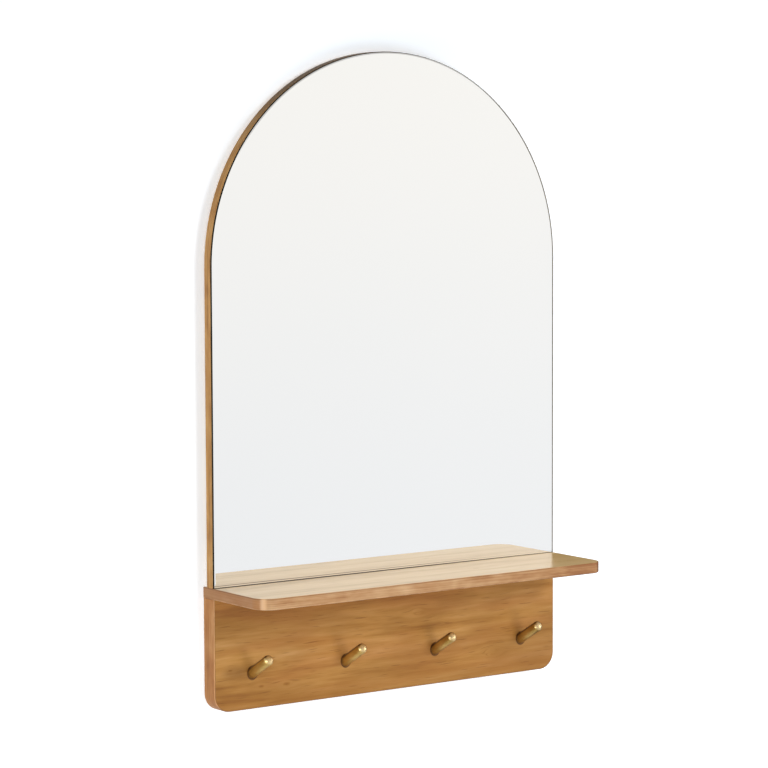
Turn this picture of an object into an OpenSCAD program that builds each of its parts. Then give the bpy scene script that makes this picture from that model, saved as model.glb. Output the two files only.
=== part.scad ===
// Arched wall mirror with a shelf and a row of coat pegs.
// The arched glass is taped to a wooden board that stands on the shelf, and a wooden
// hook panel hangs under the shelf. X runs along the width, +Y points into the wall and
// +Z is up. The origin is the centre of the hook panel's back face, on the wall.

/* [Overall] */
// Width of the glass board, the shelf and the hook panel, which are flush at both ends
overall_w = 610; // [480:10:720]
// Height of the board's straight sides, from the shelf to where the arch springs
side_h = 450; // [320:10:620]
// Rounding of the wooden edges
wood_ease = 1.2; // [0.6:0.1:2]

/* [Glass] */
// Thickness of the mirror glass
glass_t = 3; // [3:0.5:6]
// Width of the ground bevel round the front of the glass
bevel_w = 2.5; // [1:0.5:12]
// Depth of that bevel at the edge of the glass
bevel_d = 0.8; // [0.3:0.1:1.5]
// How far the edge of the glass stays inside the edge of the board
glass_inset = 0.5; // [0.2:0.1:3]
// Thickness of the safety film on the silvered back of the glass
film_t = 0.2; // [0.1:0.05:0.5]
// How far the film stays inside the edge of the glass
film_inset = 1; // [0.5:0.5:5]
// Thickness of the mounting tape between film and board
tape_t = 0.8; // [0.5:0.1:2]
// Width of one strip of mounting tape
tape_w = 25; // [12:1:40]
// Least distance from the tape to the edge of the glass
tape_margin = 18; // [10:1:40]

/* [Board] */
// Thickness of the arched board behind the glass
board_t = 15; // [14:1:22]
// Gap between the board and the wall, which holds the hangers
wall_gap = 9; // [8:0.5:14]

/* [Shelf] */
// Depth of the shelf from the wall to its front edge
shelf_depth = 152; // [110:1:220]
// Thickness of the shelf
shelf_t = 16; // [15:1:26]
// Radius of the shelf's two front corners
shelf_corner_r = 25; // [8:1:45]

/* [Hook panel] */
// Height of the hook panel under the shelf
panel_h = 162; // [150:2:260]
// Radius of the hook panel's two lower corners
panel_corner_r = 25; // [8:1:45]

/* [Coat pegs] */
// Diameter of a peg
peg_d = 15; // [12:0.5:20]
// Length of a peg along its axis, in front of the hook panel
peg_len = 52; // [35:1:90]
// Upward tilt of a peg from level, in degrees
peg_tilt = 30; // [15:1:35]
// Distance of the outer pegs from the ends of the hook panel
peg_end = 63.5; // [45:0.5:90]
// Distance from the shelf's underside down to a peg's axis at the panel's face
peg_drop = 110; // [85:1:115]
// Rounding of a peg's tip
peg_tip_r = 2; // [0.5:0.5:5]
// Length of a peg inside its slanted socket
peg_socket = 10; // [8:0.5:12]

/* [Peg screws] */
// Diameter of the machine screw that pulls a peg into its socket
peg_screw_d = 5; // [4:0.5:6]
// Diameter of that screw's head
peg_screw_head_d = 9; // [8:0.5:10]
// Height of that screw's head
peg_screw_head_h = 3.2; // [2.5:0.1:4]
// Length of thread inside the peg
peg_thread = 12; // [8:1:18]
// Diameter of the washer under the head
washer_d = 10; // [9.5:0.5:12]
// Thickness of the washer
washer_t = 1; // [0.8:0.1:1.6]
// Depth of the recess for head and washer, from the panel's back along the peg's axis
peg_recess = 11; // [10:0.5:13]

/* [Dowels] */
// Diameter of a wooden dowel
dowel_d = 8; // [6:1:8]
// Length of a dowel
dowel_len = 30; // [24:2:40]
// Depth of a dowel in the shelf
dowel_in_shelf = 9; // [6:1:10]
// Bevel at the ends of a dowel
dowel_bevel = 1; // [0.5:0.1:1.5]

/* [Board screws] */
// Diameter of the countersunk screws up through the shelf into the board
board_screw_d = 4.5; // [3.5:0.5:5]
// Length of such a screw inside the board
board_screw_bite = 34; // [20:1:50]
// Distance of the outer board screws from the ends of the shelf
board_screw_end = 35; // [25:1:40]

/* [Panel screws] */
// Diameter of the slanted pocket screws up from the hook panel into the shelf
pocket_screw_d = 4; // [3.5:0.5:5]
// Diameter of a pocket, bored into the panel's back
pocket_d = 9.6; // [9.2:0.2:11]
// Angle between a pocket and the panel, in degrees
pocket_angle = 15; // [12:1:18]
// Length of a pocket screw in the panel, above the pocket
pocket_stock = 25; // [20:1:30]
// Length of a pocket screw in the shelf
pocket_bite = 11; // [8:1:12]

/* [Hangers] */
// Distance of a hanger from the side of the board
hanger_end = 105; // [70:5:130]
// Height of a hanger's ring pivot above the springing of the arch
hanger_rise = 105; // [0:5:120]
// Thickness of the folded strap, one layer
strap_t = 1.2; // [1:0.1:1.5]
// Width of the strap
strap_w = 14; // [10:1:15]
// Length of the strap below the ring's pivot, to its second screw in the middle of its round end
strap_len = 34; // [32:1:50]
// Diameter of the ring's wire
ring_wire_d = 3; // [2.5:0.1:3.2]
// Width of the ring, between the middles of its two legs
ring_w = 24; // [24:1:30]
// Radius of the ring's two lower corners, at the middle of the wire
ring_corner_r = 4; // [3.5:0.5:4]
// Length of the ring's straight legs
ring_leg = 5; // [3:1:8]
// Distance of the first strap screw below the pivot
first_screw_drop = 10; // [9:0.5:11]
// Diameter of the small wood screws in the straps and the bumpers
small_screw_d = 3.5; // [3:0.5:4]
// Length of such a screw inside the board
small_screw_bite = 10; // [8:1:12]

/* [Bumpers] */
// Diameter of a wall bumper where it meets the board
bumper_d = 18; // [14:1:24]
// Narrowing of a bumper from the board to the wall
bumper_taper = 2; // [1:0.5:4]
// Distance of a bumper's middle from the edge of the arch
bumper_edge = 30; // [20:1:60]
// Direction from the arch's centre to a bumper, up from level, in degrees
bumper_angle = 62; // [45:1:80]
// Thickness of rubber under the bumper's screw head
bumper_floor = 3.5; // [2:0.5:4]

/* [Fits] */
// Radial clearance round screws, dowels and pegs in their holes
hole_fit = 0.05; // [0.02:0.01:0.15]
// Radial clearance of the ring's wire in the barrel of its strap
ring_fit = 0.08; // [0.03:0.01:0.1]
// Depth left free beyond the end of a screw or dowel
end_gap = 1; // [0.5:0.5:2]
// Radial room round a washer or a screw head in its recess
head_room = 1; // [0.5:0.1:1.5]
// Least gap between a ring and the board
ring_gap = 0.3; // [0.3:0.1:0.6]

/* [Hidden] */

// Smoothness of large arcs and of small round things
$fn = 64;
arch_fn = 256;
// Number of straight steps in an eased edge
ease_steps = 4;
// Overshoot of a cut beyond the face it opens
over = 1;

// Levels from the origin, which is halfway up the hook panel
panel_top = panel_h / 2;
panel_bottom = -panel_h / 2;
shelf_top = panel_top + shelf_t;
arch_z = shelf_top + side_h;

// Distances from the wall, towards the room
board_front = wall_gap + board_t;
film_back = board_front + tape_t;
glass_back = film_back + film_t;
// The hook panel's face is flush with the front of the glass
panel_t = glass_back + glass_t;

// Half widths of the wood, the glass and the film
half_w = overall_w / 2;
glass_half_w = half_w - glass_inset;
film_half_w = glass_half_w - film_inset;

// Places along the width follow the pitch of the pegs, so that no two holes meet
peg_pitch = (overall_w - 2 * peg_end) / 3;
peg_xs = [-1.5, -0.5, 0.5, 1.5] * peg_pitch;
pocket_xs = [-1, 0, 1] * peg_pitch;
board_dowel_xs = [-0.75, 0.75] * peg_pitch;
panel_dowel_xs = [-1.5, 1.5] * peg_pitch;
board_screw_x = half_w - board_screw_end;
board_screw_xs = [-board_screw_x, -0.5 * peg_pitch, 0.5 * peg_pitch, board_screw_x];

// Middle planes of the board and of the hook panel
board_mid_y = -(wall_gap + board_t / 2);
panel_mid_y = -panel_t / 2;

// Pegs
peg_r = peg_d / 2;
peg_z = panel_top - peg_drop;
peg_web = panel_t / cos(peg_tilt) - peg_socket - peg_recess;
peg_screw_len = washer_t + peg_web + peg_thread;
recess_r = washer_d / 2 + head_room;

// Heads of the pocket screws and of the small screws, in proportion to their shanks
pocket_head_d = pocket_screw_d * 2;
pocket_head_h = pocket_screw_d * 0.6;
small_head_d = small_screw_d * 2;
small_head_h = small_screw_d * 0.6;

// Hangers
ring_wire_r = ring_wire_d / 2;
barrel_bore_r = ring_wire_r + ring_fit;
barrel_r = barrel_bore_r + strap_t;
// The barrel stands a little off the board, so the ring's pivot does too
pivot_lift = barrel_r + ring_gap;
ring_reach = ring_corner_r + ring_leg + ring_w / 2;
ring_lean = asin((pivot_lift - ring_wire_r - ring_gap) / ring_reach);
hanger_x = half_w - hanger_end;
hanger_z = arch_z + hanger_rise;

// Bumpers
bumper_reach = half_w - bumper_edge;
bumper_x = bumper_reach * cos(bumper_angle);
bumper_z = arch_z + bumper_reach * sin(bumper_angle);

// ---- Sections -------------------------------------------------------------------------

// Points of a quarter arc round [cx, cy] that starts at angle a0
function quarter(cx, cy, r, a0) = [
    for (i = [0:ease_steps])
        let (a = a0 + 90 * i / ease_steps)
            [cx + r * cos(a), cy + r * sin(a)]
];

// Section of a board from 0 to len, with the two arrises at its far end eased
function eased_end(len, t) = concat(
    [[0, 0]],
    quarter(len - wood_ease, wood_ease, wood_ease, -90),
    quarter(len - wood_ease, t - wood_ease, wood_ease, 0),
    [[0, t]]
);

// Section of a board of width w, centred, with all four arrises eased
function eased_section(w, t) = concat(
    quarter(w / 2 - wood_ease, wood_ease, wood_ease, -90),
    quarter(w / 2 - wood_ease, t - wood_ease, wood_ease, 0),
    quarter(-w / 2 + wood_ease, t - wood_ease, wood_ease, 90),
    quarter(-w / 2 + wood_ease, wood_ease, wood_ease, 180)
);

// Half disc standing on the springing line, turned from a radial section of its plate
module half_disc(section) {
    rotate([90, 0, 0])
        rotate_extrude(angle = 180, $fn = arch_fn)
            polygon(section);
}

// Puts its children on the left and mirrored on the right, or the other way round
module both_sides() {
    children();
    mirror([1, 0, 0]) children();
}

// ---- Fasteners, each along +Z with the underside of its head at 0 ---------------------

// Cross recess cut into the top of a head
module cross_recess(size, depth) {
    for (turn = [0, 90])
        rotate([0, 0, turn])
            translate([-size / 2, -size / 8, -depth])
                cube([size, size / 4, depth + over]);
}

// Shank with a pointed end, down from 0
module pointed_shank(d, len) {
    translate([0, 0, -len + d]) cylinder(d = d, h = len - d);
    translate([0, 0, -len]) cylinder(d1 = d / 4, d2 = d, h = d);
}

// Pan head with a rounded top
module pan_head(d, h) {
    rotate_extrude()
        polygon(concat([[0, 0], [d / 2, 0]], quarter(d / 2 - h * 0.6, h * 0.4, h * 0.6, 0), [[0, h]]));
}

// Wood screw with a pan head
module pan_wood_screw(d, len, head_d, head_h) {
    difference() {
        union() {
            pan_head(head_d, head_h);
            pointed_shank(d, len);
        }
        translate([0, 0, head_h]) cross_recess(head_d * 0.55, head_h * 0.6);
    }
}

// Machine screw with a pan head and a blunt end
module machine_screw(d, len, head_d, head_h) {
    difference() {
        union() {
            pan_head(head_d, head_h);
            translate([0, 0, -len + d / 8]) cylinder(d = d, h = len - d / 8);
            translate([0, 0, -len]) cylinder(d1 = d * 0.75, d2 = d, h = d / 8);
        }
        translate([0, 0, head_h]) cross_recess(head_d * 0.55, head_h * 0.6);
    }
}

// Countersunk wood screw, with the top of its head at 0
module countersunk_screw(d, len) {
    difference() {
        union() {
            translate([0, 0, -d / 2]) cylinder(d1 = d, d2 = 2 * d, h = d / 2);
            translate([0, 0, -d / 2]) pointed_shank(d, len - d / 2);
        }
        cross_recess(d, d / 3);
    }
}

// ---- Places ---------------------------------------------------------------------------

// Frame of a peg: its origin is on the panel's face and +Z points out along the peg
module at_peg(x) {
    translate([x, -panel_t, peg_z])
        rotate([90 - peg_tilt, 0, 0])
            children();
}

// Frame of a peg screw: its origin is on the floor of the recess and +Z points out of it
module at_peg_screw(x) {
    at_peg(x)
        translate([0, 0, -peg_socket - peg_web])
            rotate([180, 0, 0])
                children();
}

// Frame of a pocket screw: its origin is on the floor of the pocket, +Z points down it
module at_pocket(x) {
    translate([x, panel_mid_y, panel_top])
        rotate([180 + pocket_angle, 0, 0])
            translate([0, 0, pocket_stock])
                children();
}

// Frame of a board screw: its origin is on the shelf's underside and +Z points down
module at_board_screw(x) {
    translate([x, board_mid_y, panel_top])
        rotate([180, 0, 0])
            children();
}

// Frame of a hanger: its origin is on the ring's pivot, +Y points at the wall
module at_hanger() {
    translate([hanger_x, -wall_gap + pivot_lift, hanger_z]) children();
}

// Frame of a strap screw: its origin is on the strap and +Z points at the wall
module at_strap_screws() {
    at_hanger()
        for (drop = [first_screw_drop, strap_len])
            translate([0, -pivot_lift + 2 * strap_t, -drop])
                rotate([-90, 0, 0])
                    children();
}

// Frame of a bumper: its origin is on the board's back and +Z points at the wall
module at_bumper() {
    translate([bumper_x, -wall_gap, bumper_z])
        rotate([-90, 0, 0])
            children();
}

// ---- Mirror ---------------------------------------------------------------------------

// Arched glass, flat at the back, with a ground bevel round its whole front
module mirror_glass() {
    side_face = glass_t - bevel_d;
    radial_section = [
        [0, 0], [glass_half_w, 0], [glass_half_w, side_face],
        [glass_half_w - bevel_w, glass_t], [0, glass_t]
    ];
    level_section = [
        [-glass_half_w, 0], [glass_half_w, 0], [glass_half_w, -side_face],
        [glass_half_w - bevel_w, -glass_t], [bevel_w - glass_half_w, -glass_t],
        [-glass_half_w, -side_face]
    ];
    upright_section = [
        [0, 0], [-side_face, 0], [-glass_t, bevel_w], [-glass_t, side_h], [0, side_h]
    ];
    color([0.93, 0.94, 0.95])
        translate([0, -glass_back, 0]) {
            translate([0, 0, arch_z]) half_disc(radial_section);
            translate([0, 0, shelf_top])
                intersection() {
                    linear_extrude(side_h) polygon(level_section);
                    rotate([90, 0, 90])
                        linear_extrude(overall_w, center = true)
                            polygon(upright_section);
                }
        }
}

// Film that holds the glass together if it breaks, on its silvered back
module safety_film() {
    color([0.55, 0.57, 0.6])
        translate([0, -film_back, 0]) {
            translate([0, 0, arch_z])
                half_disc([[0, 0], [film_half_w, 0], [film_half_w, film_t], [0, film_t]]);
            translate([-film_half_w, -film_t, shelf_top + film_inset])
                cube([2 * film_half_w, film_t, side_h - film_inset]);
        }
}

// Upright strips of double-sided tape, each as long as the arch leaves room for
module mounting_tape() {
    reach = glass_half_w - tape_margin;
    outer_x = reach - tape_w * 1.5;
    color([0.85, 0.85, 0.83])
        for (x = [-outer_x, -outer_x / 3, outer_x / 3, outer_x]) {
            top = arch_z + sqrt(reach * reach - pow(abs(x) + tape_w / 2, 2));
            bottom = shelf_top + tape_margin;
            translate([x - tape_w / 2, -film_back, bottom])
                cube([tape_w, tape_t, top - bottom]);
        }
}

// Arched board, drilled for its dowels and screws
module mirror_board() {
    color([0.74, 0.58, 0.38])
        difference() {
            union() {
                translate([0, -wall_gap, arch_z]) half_disc(eased_end(half_w, board_t));
                translate([0, -board_front, shelf_top])
                    linear_extrude(side_h) polygon(eased_section(overall_w, board_t));
            }
            for (x = board_dowel_xs)
                translate([x, board_mid_y, shelf_top - over])
                    cylinder(r = dowel_d / 2 + hole_fit, h = dowel_len - dowel_in_shelf + end_gap + over);
            for (x = board_screw_xs)
                translate([x, board_mid_y, shelf_top - over])
                    cylinder(r = board_screw_d / 2 + hole_fit, h = board_screw_bite + end_gap + over);
            both_sides() {
                at_strap_screws() small_pilot();
                at_bumper() small_pilot();
            }
        }
}

// Pilot hole into the board for a small screw, started in front of the board's back
module small_pilot() {
    depth = small_screw_bite + end_gap;
    translate([0, 0, -depth - 2 * strap_t])
        cylinder(r = small_screw_d / 2 + hole_fit, h = depth + 3 * strap_t);
}

// ---- Shelf and hook panel -------------------------------------------------------------

// Shelf with round front corners, drilled from above and below
module shelf() {
    straight_w = half_w - shelf_corner_r;
    straight_d = shelf_depth - shelf_corner_r;
    color([0.86, 0.72, 0.53])
        difference() {
            translate([0, 0, panel_top]) {
                mirror([0, 1, 0])
                    rotate([90, 0, 90])
                        linear_extrude(2 * straight_w, center = true)
                            polygon(eased_end(shelf_depth, shelf_t));
                both_sides() {
                    translate([straight_w, 0, 0])
                        rotate([90, 0, 0])
                            linear_extrude(straight_d)
                                polygon(eased_end(shelf_corner_r, shelf_t));
                    translate([straight_w, -straight_d, 0])
                        rotate([0, 0, -90])
                            rotate_extrude(angle = 90)
                                polygon(eased_end(shelf_corner_r, shelf_t));
                }
            }
            for (x = board_dowel_xs)
                translate([x, board_mid_y, shelf_top - dowel_in_shelf])
                    cylinder(r = dowel_d / 2 + hole_fit, h = dowel_in_shelf + over);
            for (x = panel_dowel_xs)
                translate([x, panel_mid_y, panel_top - over])
                    cylinder(r = dowel_d / 2 + hole_fit, h = dowel_in_shelf + over);
            for (x = board_screw_xs)
                at_board_screw(x) {
                    translate([0, 0, -shelf_t - over])
                        cylinder(r = board_screw_d / 2 + hole_fit, h = shelf_t + 2 * over);
                    translate([0, 0, -board_screw_d / 2])
                        cylinder(d1 = board_screw_d, d2 = 2 * board_screw_d, h = board_screw_d / 2);
                }
            for (x = pocket_xs)
                at_pocket(x)
                    translate([0, 0, -pocket_stock - pocket_bite - end_gap / 2])
                        cylinder(r = pocket_screw_d / 2 + hole_fit, h = pocket_bite + 3 * over);
        }
}

// Hook panel with round lower corners, slanted peg sockets and screw pockets
module hook_panel() {
    straight_w = half_w - panel_corner_r;
    color([0.62, 0.43, 0.23])
        difference() {
            translate([0, 0, panel_bottom + panel_corner_r]) {
                translate([0, -panel_t, 0])
                    linear_extrude(panel_h - panel_corner_r)
                        polygon(eased_section(overall_w, panel_t));
                translate([-straight_w, -panel_t, 0])
                    rotate([0, 90, 0])
                        linear_extrude(2 * straight_w)
                            polygon(eased_end(panel_corner_r, panel_t));
                both_sides()
                    translate([straight_w, 0, 0])
                        rotate([90, 0, 0])
                            rotate([0, 0, -90])
                                rotate_extrude(angle = 90)
                                    polygon(eased_end(panel_corner_r, panel_t));
            }
            for (x = peg_xs) {
                at_peg(x) {
                    translate([0, 0, -peg_socket])
                        cylinder(r = peg_r + hole_fit, h = peg_socket + peg_d);
                    translate([0, 0, -peg_socket - peg_web - over])
                        cylinder(r = peg_screw_d / 2 + hole_fit, h = peg_web + 2 * over);
                }
                at_peg_screw(x) cylinder(r = recess_r, h = peg_recess + washer_d);
            }
            for (x = panel_dowel_xs)
                translate([x, panel_mid_y, panel_top - (dowel_len - dowel_in_shelf) - end_gap])
                    cylinder(r = dowel_d / 2 + hole_fit, h = dowel_len + end_gap);
            for (x = pocket_xs)
                at_pocket(x) {
                    translate([0, 0, -pocket_stock - over])
                        cylinder(r = pocket_screw_d / 2 + hole_fit, h = pocket_stock + 2 * over);
                    cylinder(d = pocket_d, h = panel_t / sin(pocket_angle));
                }
        }
}

// ---- Joinery --------------------------------------------------------------------------

// Beech dowel with bevelled ends, standing on 0
module dowel() {
    r = dowel_d / 2;
    rotate_extrude()
        polygon([
            [0, 0], [r - dowel_bevel, 0], [r, dowel_bevel], [r, dowel_len - dowel_bevel],
            [r - dowel_bevel, dowel_len], [0, dowel_len]
        ]);
}

// Dowels between the shelf and the board that stands on it
module board_dowels() {
    color([0.87, 0.74, 0.54])
        for (x = board_dowel_xs)
            translate([x, board_mid_y, shelf_top - dowel_in_shelf]) dowel();
}

// Dowels between the hook panel and the shelf
module panel_dowels() {
    color([0.87, 0.74, 0.54])
        for (x = panel_dowel_xs)
            translate([x, panel_mid_y, panel_top - (dowel_len - dowel_in_shelf)]) dowel();
}

// Countersunk screws up through the shelf, hidden by the hook panel
module board_screws() {
    color([0.72, 0.7, 0.62])
        for (x = board_screw_xs)
            at_board_screw(x) countersunk_screw(board_screw_d, shelf_t + board_screw_bite);
}

// Slanted screws up from the panel's pockets into the shelf
module panel_screws() {
    color([0.72, 0.7, 0.62])
        for (x = pocket_xs)
            at_pocket(x)
                pan_wood_screw(pocket_screw_d, pocket_stock + pocket_bite, pocket_head_d, pocket_head_h);
}

// ---- Coat pegs ------------------------------------------------------------------------

// Turned brass peg with a rounded tip, tapped at its hidden end
module coat_peg(x) {
    full_len = peg_socket + peg_len;
    color([0.72, 0.57, 0.32])
        at_peg(x)
            difference() {
                translate([0, 0, -peg_socket])
                    rotate_extrude()
                        polygon(concat(
                            [[0, 0], [peg_r, 0]],
                            quarter(peg_r - peg_tip_r, full_len - peg_tip_r, peg_tip_r, 0),
                            [[0, full_len]]
                        ));
                translate([0, 0, -peg_socket - over])
                    cylinder(r = peg_screw_d / 2 + hole_fit, h = peg_thread + end_gap + over);
            }
}

// Washers on the floors of the recesses
module peg_washers() {
    color([0.75, 0.75, 0.74])
        for (x = peg_xs)
            at_peg_screw(x)
                difference() {
                    cylinder(d = washer_d, h = washer_t);
                    translate([0, 0, -over])
                        cylinder(r = peg_screw_d / 2 + 2 * hole_fit, h = washer_t + 2 * over);
                }
}

// Machine screws that pull the pegs into their sockets
module peg_screws() {
    color([0.7, 0.7, 0.69])
        for (x = peg_xs)
            at_peg_screw(x)
                translate([0, 0, washer_t])
                    machine_screw(peg_screw_d, peg_screw_len, peg_screw_head_d, peg_screw_head_h);
}

// ---- Hangers --------------------------------------------------------------------------

// Steel strap folded round the ring's straight bar and screwed to the board
module hanger_strap() {
    color([0.74, 0.73, 0.7])
        difference() {
            at_hanger() {
                rotate([0, 90, 0]) cylinder(r = barrel_r, h = strap_w, center = true);
                translate([-strap_w / 2, -pivot_lift, -strap_len]) cube([strap_w, 2 * strap_t, strap_len]);
                translate([0, -pivot_lift, -strap_len])
                    rotate([-90, 0, 0])
                        cylinder(d = strap_w, h = 2 * strap_t);
            }
            at_hanger()
                rotate([0, 90, 0])
                    cylinder(r = barrel_bore_r, h = strap_w + 2 * over, center = true);
            at_strap_screws()
                translate([0, 0, -2 * strap_t - over])
                    cylinder(r = small_screw_d / 2 + 2 * hole_fit, h = 2 * strap_t + 2 * over);
        }
}

// Bent and welded wire ring, leaning on the board as when the mirror hangs
module hanger_ring() {
    top_y = ring_corner_r + ring_leg;
    bar = ring_w / 2 - ring_corner_r;
    color([0.78, 0.77, 0.74])
        at_hanger()
            rotate([90 + ring_lean, 0, 0]) {
                rotate([0, 90, 0]) cylinder(r = ring_wire_r, h = 2 * bar, center = true);
                both_sides() {
                    translate([bar, ring_corner_r, 0])
                        rotate([0, 0, -90])
                            rotate_extrude(angle = 90)
                                translate([ring_corner_r, 0]) circle(r = ring_wire_r);
                    translate([ring_w / 2, ring_corner_r, 0])
                        rotate([-90, 0, 0])
                            cylinder(r = ring_wire_r, h = ring_leg);
                }
                translate([0, top_y, 0])
                    rotate_extrude(angle = 180)
                        translate([ring_w / 2, 0]) circle(r = ring_wire_r);
            }
}

// Two screws in each strap
module hanger_screws() {
    color([0.76, 0.75, 0.72])
        both_sides()
            at_strap_screws()
                pan_wood_screw(small_screw_d, small_screw_bite + 2 * strap_t, small_head_d, small_head_h);
}

// ---- Bumpers --------------------------------------------------------------------------

// Rubber bumpers that keep the top of the board off the wall
module wall_bumpers() {
    color([0.2, 0.2, 0.2])
        both_sides()
            at_bumper()
                difference() {
                    cylinder(d1 = bumper_d, d2 = bumper_d - bumper_taper, h = wall_gap);
                    translate([0, 0, -over])
                        cylinder(r = small_screw_d / 2 + 2 * hole_fit, h = wall_gap + 2 * over);
                    translate([0, 0, bumper_floor]) cylinder(r = small_head_d / 2 + head_room, h = wall_gap);
                }
}

// One screw in each bumper
module bumper_screws() {
    color([0.76, 0.75, 0.72])
        both_sides()
            at_bumper()
                translate([0, 0, bumper_floor])
                    pan_wood_screw(
                        small_screw_d, small_screw_bite + bumper_floor, small_head_d, small_head_h
                    );
}

mirror_glass();
safety_film();
mounting_tape();
mirror_board();
shelf();
hook_panel();
board_dowels();
panel_dowels();
board_screws();
panel_screws();
coat_peg(peg_xs[0]);  // coat_peg_1
coat_peg(peg_xs[1]);  // coat_peg_2
coat_peg(peg_xs[2]);  // coat_peg_3
coat_peg(peg_xs[3]);  // coat_peg_4
peg_screws();
peg_washers();
mirror([1, 0, 0]) hanger_strap();  // hanger_strap_left
hanger_strap();  // hanger_strap_right
mirror([1, 0, 0]) hanger_ring();  // hanger_ring_left
hanger_ring();  // hanger_ring_right
hanger_screws();
wall_bumpers();
bumper_screws();
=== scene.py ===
import math

import bpy
import numpy as np
from mathutils import Matrix


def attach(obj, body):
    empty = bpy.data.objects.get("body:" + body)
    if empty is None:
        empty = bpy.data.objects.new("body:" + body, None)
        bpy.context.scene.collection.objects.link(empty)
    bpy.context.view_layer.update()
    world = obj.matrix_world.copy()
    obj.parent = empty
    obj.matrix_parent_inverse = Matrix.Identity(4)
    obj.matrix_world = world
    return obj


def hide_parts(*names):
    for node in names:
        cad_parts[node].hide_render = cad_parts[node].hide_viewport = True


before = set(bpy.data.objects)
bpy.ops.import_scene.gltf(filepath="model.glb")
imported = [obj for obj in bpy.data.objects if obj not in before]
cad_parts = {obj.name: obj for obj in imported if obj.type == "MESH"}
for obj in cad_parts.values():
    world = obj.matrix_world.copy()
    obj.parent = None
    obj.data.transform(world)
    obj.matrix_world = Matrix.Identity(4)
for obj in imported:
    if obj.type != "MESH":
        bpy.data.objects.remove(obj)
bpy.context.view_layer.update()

# ---- The view -------------------------------------------------------------------------
# The mirror is seen from its left and from just below the top of the arch, through a long
# lens, so that its left edges show and the shelf is almost edge on.

view_from, view_lens = (-2.4371, -3.4497, 0.7257), 135.603
turn, dip, lean = math.radians(35.341), math.radians(-4.836), math.radians(-0.206)


def placed(right, up, back, place):
    """The matrix of a camera or a lamp at a place, from its directions right, up and back."""
    rows = zip(np.stack([right, up, back], 1), place)
    return Matrix([(*row, offset) for row, offset in rows] + [(0, 0, 0, 1)])


ahead = np.array([math.sin(turn) * math.cos(dip), math.cos(turn) * math.cos(dip), math.sin(dip)])
level = np.array([math.cos(turn), -math.sin(turn), 0.0])
upright = np.cross(level, ahead)
across_view = math.cos(lean) * level + math.sin(lean) * upright
up_view = math.cos(lean) * upright - math.sin(lean) * level
camera = bpy.data.objects.new("view", bpy.data.cameras.new("view"))
camera.data.lens = view_lens
camera.data.clip_start, camera.data.clip_end = 0.05, 60
camera.matrix_world = placed(across_view, up_view, -ahead, view_from)
bpy.context.scene.collection.objects.link(camera)
bpy.context.scene.camera = camera
bpy.context.scene.view_settings.view_transform = "Standard"

# ---- Hook panel -----------------------------------------------------------------------
# The lowest board, flat against the wall and fixed up into the shelf: veneered on both
# faces with the grain along its length, with a strip of edge veneer glued round its sides
# and eased at the arrises, all stained honey brown and sprayed with a satin lacquer.


class Socket:
    """One output socket of a node tree. Arithmetic on it adds Math nodes."""

    def __init__(self, tree, out):
        self.tree, self.out = tree, out

    def node(self, kind, settings, inputs, output=0):
        """Adds a node: first its settings, such as an operation or a ramp's stops, and then
        the values or links of its sockets."""
        made = self.tree.nodes.new("ShaderNode" + kind)
        for key, value in settings.items():
            if key == "stops":
                while len(made.color_ramp.elements) < len(value):
                    made.color_ramp.elements.new(1)
                for stop, (place, colour) in zip(made.color_ramp.elements, value):
                    stop.position, stop.color = place, colour
            else:
                setattr(made, key, value)
        for key, value in inputs.items():
            if isinstance(value, Socket):
                self.tree.links.new(value.out, made.inputs[key])
            else:
                made.inputs[key].default_value = value
        return Socket(self.tree, made.outputs[output]) if made.outputs else None

    def maths(self, operation, *values):
        return self.node("Math", {"operation": operation}, dict(enumerate(values)))

    def __add__(self, other):
        return self.maths("ADD", self, other)

    def __sub__(self, other):
        return self.maths("SUBTRACT", self, other)

    def __rsub__(self, other):
        return self.maths("SUBTRACT", other, self)

    def __mul__(self, other):
        return self.maths("MULTIPLY", self, other)

    def __truediv__(self, other):
        return self.maths("DIVIDE", self, other)

    def __rtruediv__(self, other):
        return self.maths("DIVIDE", other, self)

    def __pow__(self, other):
        return self.maths("POWER", self, other)

    def __rpow__(self, other):
        return self.maths("POWER", other, self)

    def __abs__(self):
        return self.maths("ABSOLUTE", self)

    __radd__ = __add__
    __rmul__ = __mul__

    def least(self, other):
        return self.maths("MINIMUM", self, other)

    def most(self, other):
        return self.maths("MAXIMUM", self, other)

    def rise(self, start, end):
        """0 up to start and 1 from end on, smooth between them; start may be the greater."""
        limits = {"Value": self, "From Min": start, "From Max": end}
        return self.node("MapRange", {"interpolation_type": "SMOOTHSTEP"}, limits)

    def mix(self, first, second):
        """The first colour where this is 0, the second where it is 1."""
        return self.node("Mix", {"data_type": "RGBA"}, {0: self, 6: first, 7: second}, 2)

    def ramp(self, *stops):
        """A colour from a row of (place, colour) stops, blended between them."""
        return self.node("ValToRGB", {"stops": stops}, {0: self})

    def relief(self, strength, distance):
        """The normal of a surface raised by this height, where 1 is a distance in metres."""
        return self.node("Bump", {}, {"Strength": strength, "Distance": distance, "Height": self})


def tint(red, green, blue):
    """A colour given as 0 to 255 on a screen, as the shader takes it."""
    seen = np.array([red, green, blue]) / 255
    return (*np.where(seen > 0.04045, ((seen + 0.055) / 1.055) ** 2.4, seen / 12.92).tolist(), 1)


def finish(name, pattern, **even):
    """A material: pattern(x, y, z) gives what varies over the object, the rest is even."""
    made = bpy.data.materials.new(name)
    made.use_nodes = True
    tree = made.node_tree
    shader = tree.nodes["Principled BSDF"]
    place = Socket(tree, tree.nodes.new("ShaderNodeTexCoord").outputs["Object"])
    split = place.node("SeparateXYZ", {}, {0: place}).out.node
    for key, value in even.items():
        shader.inputs[key.replace("_", " ")].default_value = value
    for key, value in pattern(*(Socket(tree, out) for out in split.outputs)).items():
        tree.links.new(value.out, shader.inputs[key])
    return made


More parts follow.
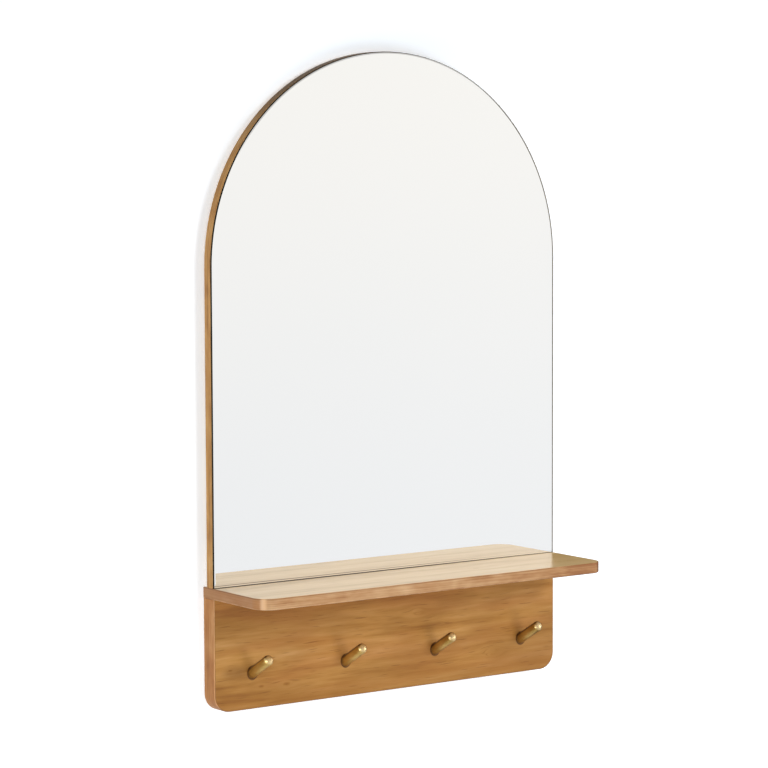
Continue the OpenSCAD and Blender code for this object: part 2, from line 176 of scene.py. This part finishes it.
def dress(material, *nodes):
    """Puts one material on every slot of the named parts."""
    for node in nodes:
        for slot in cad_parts[node].material_slots:
            slot.material = material


def box_of(node):
    """The lowest and the highest corner of a named part."""
    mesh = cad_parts[node].data
    places = np.empty(3 * len(mesh.vertices))
    mesh.vertices.foreach_get("co", places)
    places = places.reshape(-1, 3)
    return places.min(0).tolist(), places.max(0).tolist()


def specks(x, y, z, detail=2.0, roughness=0.5):
    """Soft noise from 0 to 1 at a place that is already stretched and scaled."""
    place = x.node("CombineXYZ", {}, {0: x, 1: y, 2: z})
    inputs = {"Vector": place, "Scale": 1.0, "Detail": detail, "Roughness": roughness}
    return x.node("TexNoise", {}, inputs)


def face_grain(along, across, depth, knots, seed):
    """Flat-sawn veneer. The lines run along and are bent round each knot as a stream is round
    a post: across is shortened by (size / distance) squared, where the length along the grain
    counts 0.4 of what it is. Returns a tone of about 0 to 1, a mask of dark pores and the
    fine fibre."""
    line, heart = across, 0.0
    for knot_along, knot_across, size, dark in knots:
        reach, side = (along - knot_along) * 0.4, across - knot_across
        pull = size * size / (reach * reach + side * side + 0.4 * size * size)
        line = line - side * pull
        heart = ((pull - 1.0).rise(0.1, 1.5) * dark).most(heart)
    sway = specks(along * 1.6, across * 7, depth + seed) - 0.5
    line = line + sway * 0.03
    band = specks(along * 2.6, line * 26, depth + (seed + 3)) - 0.5
    streak = specks(along * 9.0, line * 110, depth + (seed + 7), 3.0, 0.6) - 0.5
    fibre = specks(along * 30, line * 1400, depth * 1400 + seed)
    pores = specks(along * 26, line * 420, depth + (seed + 11), 1.0).rise(0.63, 0.75)
    tone = band * 1.8 + streak * 1.5 + fibre * 0.3 + 0.36 - heart
    return tone, pores, fibre


def edge_grain(round_one, round_two, across, seed):
    """Strip of edge veneer: fine streaks that run round the board, whichever way it turns."""
    streak = specks(round_one * 7, round_two * 7, across * 420 + seed, 3.0, 0.6) - 0.5
    patch = specks(round_one * 26, round_two * 26, across * 70 + seed) - 0.5
    return streak * 1.6 + patch * 1.5 + 0.5


def from_rim(beyond_one, beyond_two, radius):
    """Distance inward from the rim of a board with two round corners, from how far a place is
    beyond the corner's centre in both directions: the radius, less the distance from that
    centre where a place is beyond it, and less the greater of the two where it isn't."""
    corner = (beyond_one.most(0.0) ** 2.0 + beyond_two.most(0.0) ** 2.0) ** 0.5
    return radius - corner - beyond_one.most(beyond_two).least(0.0)


(_, panel_front, panel_bottom), (half_width, _, _) = box_of("hook_panel")
panel_round = 0.025
peg_pitch, peg_height, peg_tilt, peg_radius = 0.161, -0.029, math.radians(30), 0.0075
# How far inside a board's rim the edge veneer begins to show, and shows fully.
strip_from, strip_full = 0.0011, 0.0005
# How far from a peg's axis the dark ring of painted shade round its socket begins,
# and is full.
socket_shade_from, socket_shade_full = peg_radius + 0.0026, peg_radius + 0.0006
# Each knot's place along and across the grain, its size and how dark its heart is.
panel_knots = [
    (-0.279, -0.022, 0.003, 0.55), (-0.227, -0.050, 0.004, 0.55), (-0.184, -0.051, 0.005, 0.55),
    (0.190, -0.045, 0.009, 0.06), (0.050, 0.030, 0.006, 0.06),
]
# Centre of the dark halo round a knot left of the first peg; the halo is partly painted shadow of
# that peg.
burl_and_shadow_x, burl_and_shadow_z = -0.272, -0.025


def peg_axis(x, y, z):
    """Place on the peg nearest to a point: the length along its axis from the panel's front,
    the height over that axis, which is tilted up in the plane x = const, and the distance
    from it."""
    beside = x.maths("FLOORED_MODULO", x, peg_pitch) - peg_pitch / 2
    out, up = panel_front - y, z - peg_height
    along = out * math.cos(peg_tilt) + up * math.sin(peg_tilt)
    over = up * math.cos(peg_tilt) - out * math.sin(peg_tilt)
    return along, over, (beside ** 2.0 + over ** 2.0) ** 0.5


def panel_pattern(x, y, z):
    """Veneer, ruddy here and clouded there, darker low down, at its right end and round a
    knot left of the first peg, where the dark halo is partly painted shadow of that peg, with
    a dark ring of painted shade round each peg's socket. Then the strip round the sides, the
    dark glue line inside it, and its arris, pale in front as a painted highlight and darker
    as painted shade where it faces down."""
    tone, pores, fibre = face_grain(x, z, y, panel_knots, 47.0)
    face = tone.ramp(
        (0.0, tint(140, 92, 42)), (0.3, tint(166, 117, 56)), (0.55, tint(181, 132, 69)),
        (0.8, tint(192, 144, 82)), (1.0, tint(203, 156, 97)),
    )
    ruddy = specks(x * 4.5, z * 26, y + 5.0).rise(0.44, 0.62)
    cloud = specks(x * 7, z * 16, y + 8.0).rise(0.6, 0.42)
    face = (ruddy * 0.4).mix(face, tint(172, 112, 58))
    face = (cloud * 0.3).mix(face, tint(138, 92, 38))
    face = (z.rise(-0.035, -0.075) * 0.42).mix(face, tint(150, 98, 36))
    face = (x.rise(0.12, 0.3) * 0.24).mix(face, tint(132, 88, 40))
    # Partly the wood darker round the knot, partly painted shadow of the first peg.
    burl_and_shadow = (((x - burl_and_shadow_x) * 0.5) ** 2.0 + (z - burl_and_shadow_z) ** 2.0) ** 0.5
    face = (burl_and_shadow.rise(0.015, 0.003) * 0.4).mix(face, tint(114, 72, 28))
    face = (pores * 0.45).mix(face, tint(102, 60, 24))
    # The dark ring round each peg's socket is painted shade, standing for the shadowed gap round the
    # peg.
    ring = peg_axis(x, y, z)[2].rise(socket_shade_from, socket_shade_full)
    face = (ring * 0.88).mix(face, tint(80, 47, 16))
    strip = edge_grain(x, z, y, 1.0).ramp(
        (0.0, tint(170, 108, 56)), (0.4, tint(194, 130, 72)), (0.7, tint(206, 146, 88)),
        (1.0, tint(222, 166, 110)),
    )
    beyond_x, beyond_z = abs(x) - (half_width - panel_round), (panel_bottom + panel_round) - z
    inside = from_rim(beyond_x, beyond_z, panel_round)
    edge = inside.rise(strip_from, strip_full)
    arris = edge * y.rise(panel_front + 0.002, panel_front + 0.0006)
    under = arris * z.rise(panel_bottom + 0.012, panel_bottom + 0.004)
    joint = inside.rise(0.0004, strip_from) * inside.rise(2 * strip_from, strip_from + 0.0001)
    colour = edge.mix(face, strip)
    colour = (joint * 0.45).mix(colour, tint(108, 76, 44))
    # The pale front arris is a painted highlight, as if the rounded arris caught the light.
    colour = (arris * 0.6).mix(colour, tint(220, 168, 118))
    # The darker arris at the bottom is painted shade, where it faces down.
    colour = (under * 0.9).mix(colour, tint(128, 88, 52))
    return {
        "Base Color": colour, "Roughness": fibre * 0.14 + 0.4 - arris * 0.1,
        "Normal": (fibre - pores * 0.8).relief(0.25, 0.0004),
    }


panel_finish = finish("panel_wood", panel_pattern, Specular_IOR_Level=0.3)
dress(panel_finish, "hook_panel")

# ---- Shelf ----------------------------------------------------------------------------
# Stands on the panel: the same veneered board, deeper and with round front corners. Its
# top has the most lacquer, and mirrors the glass where it is seen almost edge on.

(_, shelf_front, shelf_low), (_, _, shelf_high) = box_of("shelf")
shelf_round = 0.025
(_, glass_front, _), (glass_half, glass_back, _) = box_of("mirror_glass")


def shelf_pattern(x, y, z):
    """Pale veneer, with painted shade where the glass stands on it. Then the strip round the
    sides, with a painted highlight where it is bent round the left corner and darker round
    the right one, with a dark glue line under the top face and a mottled lower arris with
    painted shade that deepens to the right."""
    tone, pores, fibre = face_grain(x, y, z, [(0.11, -0.09, 0.005, 0.5)], 14.0)
    face = tone.ramp(
        (0.0, tint(214, 174, 110)), (0.4, tint(232, 193, 131)), (0.7, tint(238, 201, 140)),
        (1.0, tint(244, 209, 152)),
    )
    face = (pores * 0.24).mix(face, tint(160, 114, 68))
    # Painted shade along the foot of the glass, where it stands on the shelf, fading to the right.
    contact_shade = y.rise(glass_front - 0.0048, glass_front - 0.001)
    contact_shade = contact_shade * y.rise(glass_back + 0.003, glass_back - 0.001)
    contact_shade = contact_shade * z.rise(shelf_high - 0.002, shelf_high - 0.0005)
    face = (contact_shade * (0.8 - x.rise(-0.05, 0.25) * 0.4)).mix(face, tint(88, 60, 34))
    strip_tone = edge_grain(x, y, z, 4.0) - x.rise(0.08, 0.3) * 0.5 - x.rise(0.299, 0.3045) * 0.5
    strip = strip_tone.ramp(
        (0.0, tint(156, 107, 69)), (0.35, tint(181, 136, 93)), (0.65, tint(193, 152, 110)),
        (1.0, tint(209, 171, 131)),
    )
    strip = (x.rise(-0.29, -0.302) * 0.6).mix(strip, tint(184, 122, 68))
    # The strip is darker round the right corner.
    right_corner_dark = x.rise(0.287, 0.294) * x.rise(0.302, 0.3)
    strip = (right_corner_dark * 0.65).mix(strip, tint(88, 56, 42))
    beyond_x, beyond_y = abs(x) - (half_width - shelf_round), (shelf_round + shelf_front) - y
    inside = from_rim(beyond_x, beyond_y, shelf_round)
    edge = inside.rise(strip_from, strip_full)
    arris = edge * z.rise(shelf_low + 0.0028, shelf_low + 0.0008)
    joint = edge * z.rise(shelf_high - 0.0024, shelf_high - 0.0014)
    joint = joint * z.rise(shelf_high - 0.0002, shelf_high - 0.0008)
    mottle = specks(x * 45, y * 45, z * 120 + 2.0).rise(0.45, 0.6)
    colour = edge.mix(face, strip)
    colour = (joint * 0.45).mix(colour, tint(140, 90, 54))
    colour = (arris * mottle * 0.4).mix(colour, tint(226, 182, 138))
    # Painted shade on the lower arris, deepening to the right.
    colour = (arris * x.rise(0.14, 0.27) * 0.6).mix(colour, tint(112, 72, 48))
    # The pale stripe down the left corner is a painted highlight.
    bend = abs(beyond_x - beyond_y).rise(0.0095, 0.0015) * inside.rise(0.005, 0.001)
    colour = (bend * x.rise(0.1, -0.1) * 0.7).mix(colour, tint(236, 192, 144))
    top = z.rise(shelf_high - 0.0004, shelf_high - 0.0001)
    return {
        "Base Color": colour, "Roughness": fibre * 0.08 + 0.32,
        "Coat Weight": top * (1 - contact_shade) * 0.62 + 0.05,
        "Normal": (fibre - pores * 0.6).relief(0.2, 0.0003),
    }


shelf_finish = finish("shelf_wood", shelf_pattern, Specular_IOR_Level=0.25, Coat_Roughness=0.2)
dress(shelf_finish, "shelf")

# ---- Mirror board ---------------------------------------------------------------------
# The arched board that stands on the shelf and carries the glass. Only its edge shows from
# the front, with the edge veneer bent round the arch; its back is plain backing veneer.

board_straight = 0.45
arch_centre = shelf_high + board_straight
board_knots = [(0.32, 0.09, 0.008, 0.5), (0.61, -0.13, 0.006, 0.5)]


def from_arch(x, z, radius):
    """Distance inward from the straight sides and from the half round above them."""
    above = (z - arch_centre).most(0.0)
    return radius - (x ** 2.0 + above ** 2.0) ** 0.5


def board_pattern(x, y, z):
    """Backing veneer with the grain upright, and the strip, darker at the top of the arch as
    painted shade.
    """
    tone, pores, fibre = face_grain(z, x, y, board_knots, 23.0)
    face = tone.ramp(
        (0.0, tint(164, 120, 76)), (0.35, tint(186, 144, 96)), (0.7, tint(200, 162, 114)),
        (1.0, tint(212, 178, 132)),
    )
    face = (pores * 0.35).mix(face, tint(128, 88, 50))
    strip = edge_grain(x, z, y, 9.0).ramp(
        (0.0, tint(164, 111, 56)), (0.4, tint(198, 145, 82)), (0.7, tint(212, 161, 96)),
        (1.0, tint(229, 182, 118)),
    )
    # Painted shade: the strip darkens towards the top of the arch.
    strip = (z.rise(0.71, 0.83) * 0.84).mix(strip, tint(96, 80, 64))
    edge = from_arch(x, z, half_width).rise(strip_from + 0.0001, strip_full)
    return {
        "Base Color": edge.mix(face, strip), "Roughness": fibre * 0.12 + 0.42,
        "Normal": (fibre - pores * 0.6).relief(0.2, 0.0003),
    }


board_finish = finish("board_wood", board_pattern, Specular_IOR_Level=0.3)
dress(board_finish, "mirror_board")

# ---- Mirror glass, film and tape ------------------------------------------------------
# Float glass with a narrow ground bevel, silvered and painted grey on its back, with a
# clear safety film over the paint and four strips of white foam tape to the board.

# Heights over the shelf: where the ground bevel ends, and up to where its tilt is left out.
bevel_line, foot_high = 0.0031, 0.0035


def glass_pattern(x, y, z):
    """Silver, seen through the front, up to a rim that is wider at the right, with a brown
    line over the shelf where the bevel ends, painted as the dark that the bevel's edge
    mirrors there; dark ground glass outside it, greyer to the right as painted light, and
    grey paint behind. The foot of the bevel mirrors as if it were flat."""
    over_shelf = z - shelf_high
    in_front = y.rise(glass_back - 0.0001, glass_back - 0.0003)
    rim = x.rise(0.1, 0.25) * 0.0017 + 0.0007
    silver = (from_arch(x, z, glass_half) - rim).rise(0.0, 0.0004)
    silver = silver * over_shelf.rise(0.0006, 0.0010) * in_front
    haze = specks(x * 3, y, z * 3)
    face = haze.mix(tint(246, 247, 246), tint(248, 248, 247))
    # A brown line painted where the bevel ends, standing for the dark that the bevel's edge mirrors
    # there.
    seam_shade = abs(over_shelf - bevel_line).rise(0.0006, 0.0002)
    face = (seam_shade * (0.75 - x.rise(0.0, 0.29) * 0.6)).mix(face, tint(104, 80, 50))
    # The ground glass is dark on the left and greyer to the right, where the grey is painted light.
    ground = x.rise(-0.02, 0.26).mix(tint(22, 18, 12), tint(104, 98, 88))
    body = y.rise(glass_back - 0.0002, glass_back).mix(ground, tint(110, 114, 118))
    true = x.node("NewGeometry", {}, {}, "Normal")
    foot = over_shelf.rise(foot_high + 0.0001, foot_high - 0.0001) * in_front
    flat = foot.node("Mix", {"data_type": "VECTOR"}, {0: foot, 4: true, 5: (0, -1, 0)}, 1)
    return {
        "Base Color": silver.mix(body, face), "Metallic": silver,
        "Roughness": silver * -0.55 + (haze * 0.01 + 0.55), "Normal": flat,
    }


glass_finish = finish("silvered_glass", glass_pattern, Specular_IOR_Level=0.06)
dress(glass_finish, "mirror_glass")


def film_pattern(x, y, z):
    """Grey film with slight waves."""
    wave = specks(x * 60, y, z * 60, 3.0)
    return {
        "Base Color": wave.mix(tint(92, 96, 100), tint(116, 120, 124)),
        "Normal": wave.relief(0.1, 0.0002),
    }


film_finish = finish("safety_film", film_pattern, Roughness=0.28)
dress(film_finish, "safety_film")


def tape_pattern(x, y, z):
    """White foam with fine cells."""
    foam = specks(x * 1500, y * 1500, z * 1500)
    return {
        "Base Color": foam.mix(tint(206, 206, 200), tint(236, 236, 230)),
        "Normal": foam.relief(0.5, 0.0002),
    }


tape_finish = finish("foam_tape", tape_pattern, Roughness=0.85)
dress(tape_finish, "mounting_tape")

# ---- Coat pegs ------------------------------------------------------------------------
# Four brass pegs turned from round bar, with softly domed ends, satin polished round the
# axis and lacquered; each is tapped at its hidden end and sits in a slanted socket.

peg_socket, peg_length, peg_rim, peg_dome, peg_ease = 0.010, 0.052, 0.0036, 0.001, 0.0006
bore_radius, bore_deep, bore_ease = 0.00255, 0.0123, 0.0003


def turned_peg(name, x, sides=96, rim_points=25, crown_points=17, body_points=31):
    """Turns a profile round the peg's axis. Point (i, j) lies on the axis at height i, and
    away from it by radius i in the direction a_j = 2 pi j / sides. The end is a dome whose
    fall is dome * (radius / peg radius) squared, met by a quarter round of the rim's radius."""
    bend = np.radians(np.linspace(0, 90, rim_points))
    end = np.stack([peg_radius - peg_rim * (1 - np.cos(bend)), -peg_rim * (1 - np.sin(bend))], 1)
    crown = np.linspace(peg_radius - peg_rim, 0, crown_points)[1:]
    end = np.concatenate([end, np.stack([crown, 0 * crown], 1)])
    end[:, 1] += peg_socket + peg_length - peg_dome * (end[:, 0] / peg_radius) ** 2
    body = np.linspace(peg_ease, end[0, 1], body_points)[:-1]
    body = np.stack([np.full(len(body), peg_radius), body], 1)
    hidden = np.array([
        (0, bore_deep), (bore_radius * 0.98, bore_deep), (bore_radius, bore_deep - 0.0001),
        (bore_radius, bore_ease), (bore_radius + bore_ease, 0), (peg_radius - peg_ease, 0),
    ])
    profile = np.concatenate([hidden, body, end])
    around = np.linspace(0, 2 * math.pi, sides + 1)[:-1]
    axis = np.array([0, -math.cos(peg_tilt), math.sin(peg_tilt)])
    over = np.array([0, math.sin(peg_tilt), math.cos(peg_tilt)])
    foot = np.array([x, panel_front, peg_height]) - peg_socket * axis
    ring = np.cos(around)[:, None] * np.array([1.0, 0, 0]) + np.sin(around)[:, None] * over
    rows = profile[1:-1]
    points = foot + rows[:, 1, None, None] * axis + rows[:, 0, None, None] * ring
    poles = foot + profile[[0, -1], 1, None] * axis
    number = np.arange(len(rows) * sides).reshape(len(rows), sides)
    beside = np.roll(number, -1, 1)
    quads = np.stack([number[:-1], beside[:-1], beside[1:], number[1:]], 2).reshape(-1, 4)
    first = np.stack([np.full(sides, number.size), beside[0], number[0]], 1)
    last = np.stack([np.full(sides, number.size + 1), number[-1], beside[-1]], 1)
    mesh = bpy.data.meshes.new(name)
    vertices = np.concatenate([points.reshape(-1, 3), poles])
    mesh.from_pydata(vertices.tolist(), [], quads.tolist() + first.tolist() + last.tolist())
    mesh.polygons.foreach_set("use_smooth", np.ones(len(mesh.polygons), bool))
    made = bpy.data.objects.new(name, mesh)
    bpy.context.scene.collection.objects.link(made)
    return made


def brass_pattern(x, y, z):
    """Stained brass, darker to the right, with painted shade at the panel, a painted sheen
    at mid length and a pale tip that is partly wear and partly a painted glint, and darker
    along its upper side as a painted reflection of the shade above it; turned fine round it."""
    along, over, away = peg_axis(x, y, z)
    turning = specks(along * 2600, away * 2600, x * 12)
    stain = specks(x * 160, y * 160, z * 160, 3.0)
    # The tip is pale partly from wear and partly as a painted glint.
    tip_wear_and_glint = along.rise(0.0475, 0.0525)
    colour = stain.mix(tint(186, 152, 78), tint(205, 172, 96))
    colour = (x.rise(-0.24, 0.2) * 0.6).mix(colour, tint(146, 110, 46))
    # Painted shade at the foot of the peg, by the panel.
    colour = (along.rise(0.006, 0.0) * 0.6).mix(colour, tint(150, 116, 66))
    # A painted sheen at mid length of the peg.
    mid_sheen = along.rise(0.006, 0.024) * along.rise(0.042, 0.026)
    colour = (mid_sheen * 0.3).mix(colour, tint(232, 200, 128))
    colour = (tip_wear_and_glint * 0.5).mix(colour, tint(255, 230, 188))
    # Darker along the upper side: a painted reflection of the shade above the peg.
    upper_shade_reflection = (over / away).rise(0.2, 0.7) * away.rise(0.0045, 0.0062)
    colour = (upper_shade_reflection * 0.85).mix(colour, tint(84, 54, 18))
    return {
        "Base Color": colour, "Roughness": stain * 0.1 + 0.31 - tip_wear_and_glint * 0.05,
        "Normal": turning.relief(0.05, 0.0001),
    }


brass_finish = finish("satin_brass", brass_pattern, Metallic=0.88)
for number, place in enumerate((-1.5, -0.5, 0.5, 1.5), 1):
    peg = turned_peg(f"turned_peg_{number}", place * peg_pitch)
    peg.data.materials.append(brass_finish)
    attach(peg, "mirror")
    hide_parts(f"coat_peg_{number}")

# ---- Screws, washers and dowels -------------------------------------------------------
# Steel screws and washers, plated with bright zinc where they hold fittings and with
# yellow zinc where they hold boards, and plain beech dowels glued between the boards.


def plated(dark, light, least_rough):
    """The pattern of a plated finish: fine crystals between two tones, the paler ones duller."""

    def pattern(x, y, z):
        crystal = specks(x * 420, y * 420, z * 420, 3.0)
        return {
            "Base Color": crystal.mix(dark, light), "Roughness": crystal * 0.16 + least_rough,
            "Normal": crystal.relief(0.1, 0.0001),
        }

    return pattern


zinc_pattern = plated(tint(182, 182, 178), tint(214, 214, 208), 0.26)
zinc_finish = finish("zinc_plate", zinc_pattern, Metallic=1.0)
dress(zinc_finish, "peg_screws", "peg_washers", "hanger_screws", "bumper_screws")
yellow_pattern = plated(tint(196, 176, 120), tint(214, 190, 142), 0.28)
yellow_finish = finish("yellow_zinc", yellow_pattern, Metallic=1.0)
dress(yellow_finish, "board_screws", "panel_screws")


def dowel_pattern(x, y, z):
    """Beech with its fibres upright, as the dowels stand."""
    line = specks(x * 900, y * 900, z * 40, 3.0)
    return {
        "Base Color": line.mix(tint(206, 172, 122), tint(228, 200, 154)),
        "Normal": line.relief(0.3, 0.0003),
    }


dowel_finish = finish("beech", dowel_pattern, Roughness=0.6)
dress(dowel_finish, "board_dowels", "panel_dowels")

# ---- Hangers --------------------------------------------------------------------------
# Nickel-plated steel straps folded round bent wire rings, screwed to the back of the
# board; the rings swing in their straps and hang on the wall hooks.

hanger_finish = finish("nickel_plate", zinc_pattern, Metallic=1.0)
dress(hanger_finish, "hanger_strap_left", "hanger_strap_right")
dress(hanger_finish, "hanger_ring_left", "hanger_ring_right")

# ---- Bumpers --------------------------------------------------------------------------
# Two turned black rubber bumpers that keep the top of the board off the wall, each held
# by one screw through its middle.


def rubber_pattern(x, y, z):
    """Black rubber with a dull grey bloom."""
    bloom = specks(x * 260, y * 260, z * 260, 4.0)
    return {
        "Base Color": bloom.mix(tint(34, 34, 35), tint(52, 52, 53)),
        "Roughness": bloom * 0.2 + 0.6, "Normal": bloom.relief(0.3, 0.0002),
    }


rubber_finish = finish("rubber", rubber_pattern)
dress(rubber_finish, "wall_bumpers")

# ---- Wall, floor and light ------------------------------------------------------------
# A white wall that the mirror hangs on and a white floor well below it, both seen from
# their front sides only, soft boxes in front, one behind for the back, and a soft sky.

wall_reach, wall_high, floor_low, floor_reach = 4.0, 4.0, -1.25, 6.0
# Where the dark card begins, and how close to the wall a fitting mirrors what is behind it.
card_left, close_by = 0.3, 0.04
card_black, white = (0.02, 0.02, 0.02, 1), (1, 1, 1, 1)


def sheet(name, first, last):
    """A flat sheet between two level lines, each given by its y and z, that faces the side
    its corners turn round anticlockwise."""
    mesh = bpy.data.meshes.new(name)
    left, right = -wall_reach, wall_reach
    corners = [(left, *first), (right, *first), (right, *last), (left, *last)]
    mesh.from_pydata(corners, [], [(0, 1, 2, 3)])
    made = bpy.data.objects.new(name, mesh)
    bpy.context.scene.collection.objects.link(made)
    made.visible_diffuse = made.visible_shadow = False
    return made


def seen_rays(tree):
    """1 for a ray from the camera, off something glossy or through something clear; and 1
    for a glossy ray alone."""
    camera_ray = Socket(tree, tree.nodes.new("ShaderNodeLightPath").outputs["Is Camera Ray"])
    rays = camera_ray.out.node.outputs
    glossy_ray = Socket(tree, rays["Is Glossy Ray"])
    clear_ray = Socket(tree, rays["Is Transmission Ray"])
    return camera_ray.most(glossy_ray).most(clear_ray), glossy_ray


def studio_paint(name, colour, glow, dulled, card_from):
    """White paint with a glow that only seen rays meet: stronger low down and far out to the
    sides, weaker by the top of the arch, and duller in a mirror. It is see-through from
    behind, and to what the fittings close to it mirror, so that these show the bright room
    when seen from there. Right of card_from a dark card takes its place in reflections
    alone, so that the varnish on the free end of the shelf isn't washed out."""
    made = bpy.data.materials.new(name)
    made.use_nodes = True
    tree = made.node_tree
    tree.nodes.clear()
    seen, glossy = seen_rays(tree)
    place = seen.node("TexCoord", {}, {}, "Object")
    across, height = (seen.node("SeparateXYZ", {}, {0: place}, index) for index in (0, 2))
    low, top, far = height.rise(0.2, 0.0), height.rise(0.78, 0.88), abs(across).rise(0.8, 2.5)
    lit = (seen - glossy * dulled) * (low * 0.16 - top * 0.18 + far * 0.4 + glow)
    paint = seen.node("BsdfDiffuse", {}, {"Color": colour})
    light = seen.node("Emission", {}, {"Color": white, "Strength": lit})
    paint = seen.node("AddShader", {}, {0: paint, 1: light})
    card = seen.node("BsdfDiffuse", {}, {"Color": card_black})
    carded = glossy * across.rise(card_from, card_from + 0.02)
    paint = seen.node("MixShader", {}, {0: carded, 1: paint, 2: card})
    close = glossy * seen.node("LightPath", {}, {}, "Ray Length").rise(close_by + 0.01, close_by)
    behind = seen.node("NewGeometry", {}, {}, "Backfacing").most(close)
    through = seen.node("BsdfTransparent", {}, {})
    shown = seen.node("MixShader", {}, {0: behind, 1: paint, 2: through})
    seen.node("OutputMaterial", {}, {"Surface": shown})
    return made


wall = sheet("wall", (0, floor_low), (0, wall_high))
wall_paint = studio_paint("wall_white", (0.8, 0.855, 0.91, 1), 0.345, 0.65, card_left)
wall.data.materials.append(wall_paint)
floor = sheet("floor", (-floor_reach, floor_low), (0, floor_low))
floor_paint = studio_paint("floor_white", (0.3, 0.3, 0.3, 1), 0.78, 0.4, wall_reach)
floor.data.materials.append(floor_paint)


def soft_box(name, azimuth, elevation, distance, width, tall, brightness, mirrored=True):
    """A rectangular lamp at an azimuth from straight in front, aimed at the mirror. One that
    is not mirrored lights the object but doesn't show in anything glossy."""
    aim = np.array([0, 0, 0.35])
    turned, raised = math.radians(azimuth), math.radians(elevation)
    flat = math.cos(raised)
    back = np.array([math.sin(turned) * flat, -math.cos(turned) * flat, math.sin(raised)])
    side = np.cross([0, 0, 1], back)
    side /= np.linalg.norm(side)
    lamp = bpy.data.lights.new(name, "AREA")
    lamp.shape, lamp.size, lamp.size_y = "RECTANGLE", width, tall
    lamp.energy = brightness * width * tall * math.pi
    made = bpy.data.objects.new(name, lamp)
    made.matrix_world = placed(side, np.cross(back, side), back, aim + distance * back)
    made.visible_glossy = mirrored
    bpy.context.scene.collection.objects.link(made)


soft_box("low", 20, -20, 3.5, 1.5, 1.5, 3.9, mirrored=False)
soft_box("key", 18, 20, 3.8, 0.8, 0.8, 18.0, mirrored=False)
soft_box("right", 52, 17, 3.8, 0.8, 0.8, 8.0)
soft_box("window", -34, 6, 3.6, 1.0, 1.0, 6.0)
soft_box("left", -68, -12, 3.6, 1.0, 2.0, 6.8)
soft_box("high", 85, 30, 6.5, 2.4, 2.4, 16.5, mirrored=False)
soft_box("behind", 162, -5, 3.8, 1.6, 1.6, 8.0, mirrored=False)

# The sky lights most from round the horizon and least from overhead. Where it is seen it is
# white, and where it is mirrored a little cool below and warm above, with dusk at the far
# sides and high up.
sky = bpy.data.worlds.new("sky")
sky.use_nodes = True
bpy.context.scene.world = sky
tree = sky.node_tree
tree.nodes.clear()
seen, glossy = seen_rays(tree)
direction = seen.node("TexCoord", {}, {}, "Generated")
across, height = (seen.node("SeparateXYZ", {}, {0: direction}, index) for index in (0, 2))
ambient = 0.38 + height.rise(-0.25, 0.1) * 0.07 - height.rise(0.0, 0.6) * 0.33
overhead = height.rise(0.26, 0.42) * 0.65 + height.rise(0.6, 0.8) * 0.6
dusk = abs(across).rise(0.8, 0.93).most(overhead)
strength = (1 - seen) * ambient + seen * (1 + glossy * (across.rise(0.48, 0.68) * 0.03 - dusk * 0.6))
room = height.rise(-0.16, 0.06).mix((0.905, 0.915, 0.935, 1), (0.985, 0.965, 0.935, 1))
colour = glossy.mix(white, room)
light = seen.node("Background", {}, {"Color": colour, "Strength": strength})
seen.node("OutputWorld", {}, {"Surface": light})
